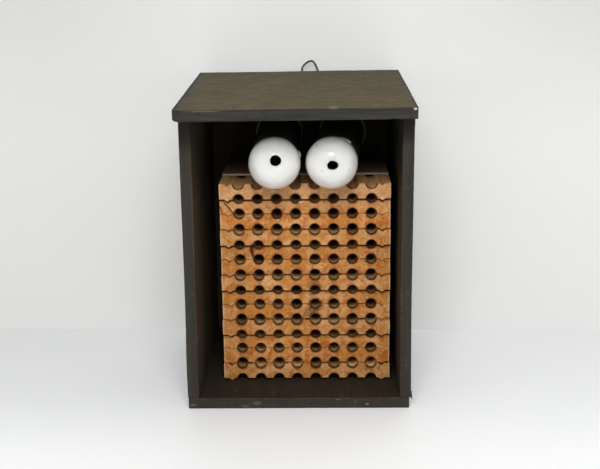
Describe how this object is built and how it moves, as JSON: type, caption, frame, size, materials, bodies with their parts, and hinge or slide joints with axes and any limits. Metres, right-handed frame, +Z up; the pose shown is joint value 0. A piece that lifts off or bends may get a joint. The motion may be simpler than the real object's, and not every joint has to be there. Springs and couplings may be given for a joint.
{
  "type": "mason bee house",
  "caption": "Open-fronted painted wooden box with a sloping roof and a wire hanging loop, holding pull-out grooved nesting trays for mason bees under a cover with drilled white eye balls.",
  "frame": {"origin": "centre of the underside of the bottom board", "axes": "+X right seen from the open front, +Y to the back, +Z up"},
  "size_m": [0.178, 0.2076, 0.2575],
  "materials": {
    "painted_board": "worn charcoal paint on wood",
    "roof_board": "weathered dark stain on wood",
    "nail": "painted over",
    "wire": "dull steel wire",
    "screw": "dull zinc",
    "cover_board": "dark board with a paler sawn edge",
    "eye_tube": "black",
    "eye_ball": "gloss white",
    "leading_tray": "pale bare wood",
    "tray": "orange-brown bare wood"
  },
  "bodies": {
    "house": {"bottom_panel": "painted_board", "left_side_panel": "painted_board", "right_side_panel": "painted_board", "back_panel": "painted_board", "roof_panel": "roof_board", "roof_nails": "nail", "bottom_nails": "nail", "side_nails": "nail", "hanger_wire": "wire", "hanger_screws": "screw"},
    "eye_board": {"stack_cover": "cover_board", "left_eye_tube": "eye_tube", "right_eye_tube": "eye_tube", "left_eye_ball": "eye_ball", "right_eye_ball": "eye_ball"},
    "tray_01": {"tray_01": "leading_tray"},
    "tray_02": {"tray_02": "tray"},
    "tray_03": {"tray_03": "tray"},
    "tray_04": {"tray_04": "leading_tray"},
    "tray_05": {"tray_05": "tray"},
    "tray_06": {"tray_06": "tray"},
    "tray_07": {"tray_07": "leading_tray"},
    "tray_08": {"tray_08": "tray"},
    "tray_09": {"tray_09": "tray"},
    "tray_10": {"tray_10": "leading_tray"},
    "tray_11": {"tray_11": "tray"},
    "tray_12": {"tray_12": "tray"},
    "tray_13": {"tray_13": "leading_tray"}
  },
  "joints": [
    {"name": "eye_board_slide", "type": "slide", "parent": "house", "child": "eye_board", "axis": [0, -1, 0], "range_m": [0, 0.2]},
    {"name": "tray_01_slide", "type": "slide", "parent": "house", "child": "tray_01", "axis": [0, -1, 0], "range_m": [0, 0.2]},
    {"name": "tray_02_slide", "type": "slide", "parent": "house", "child": "tray_02", "axis": [0, -1, 0], "range_m": [0, 0.2]},
    {"name": "tray_03_slide", "type": "slide", "parent": "house", "child": "tray_03", "axis": [0, -1, 0], "range_m": [0, 0.2]},
    {"name": "tray_04_slide", "type": "slide", "parent": "house", "child": "tray_04", "axis": [0, -1, 0], "range_m": [0, 0.2]},
    {"name": "tray_05_slide", "type": "slide", "parent": "house", "child": "tray_05", "axis": [0, -1, 0], "range_m": [0, 0.2]},
    {"name": "tray_06_slide", "type": "slide", "parent": "house", "child": "tray_06", "axis": [0, -1, 0], "range_m": [0, 0.2]},
    {"name": "tray_07_slide", "type": "slide", "parent": "house", "child": "tray_07", "axis": [0, -1, 0], "range_m": [0, 0.2]},
    {"name": "tray_08_slide", "type": "slide", "parent": "house", "child": "tray_08", "axis": [0, -1, 0], "range_m": [0, 0.2]},
    {"name": "tray_09_slide", "type": "slide", "parent": "house", "child": "tray_09", "axis": [0, -1, 0], "range_m": [0, 0.2]},
    {"name": "tray_10_slide", "type": "slide", "parent": "house", "child": "tray_10", "axis": [0, -1, 0], "range_m": [0, 0.2]},
    {"name": "tray_11_slide", "type": "slide", "parent": "house", "child": "tray_11", "axis": [0, -1, 0], "range_m": [0, 0.2]},
    {"name": "tray_12_slide", "type": "slide", "parent": "house", "child": "tray_12", "axis": [0, -1, 0], "range_m": [0, 0.2]},
    {"name": "tray_13_slide", "type": "slide", "parent": "house", "child": "tray_13", "axis": [0, -1, 0], "range_m": [0, 0.2]}
  ]
}
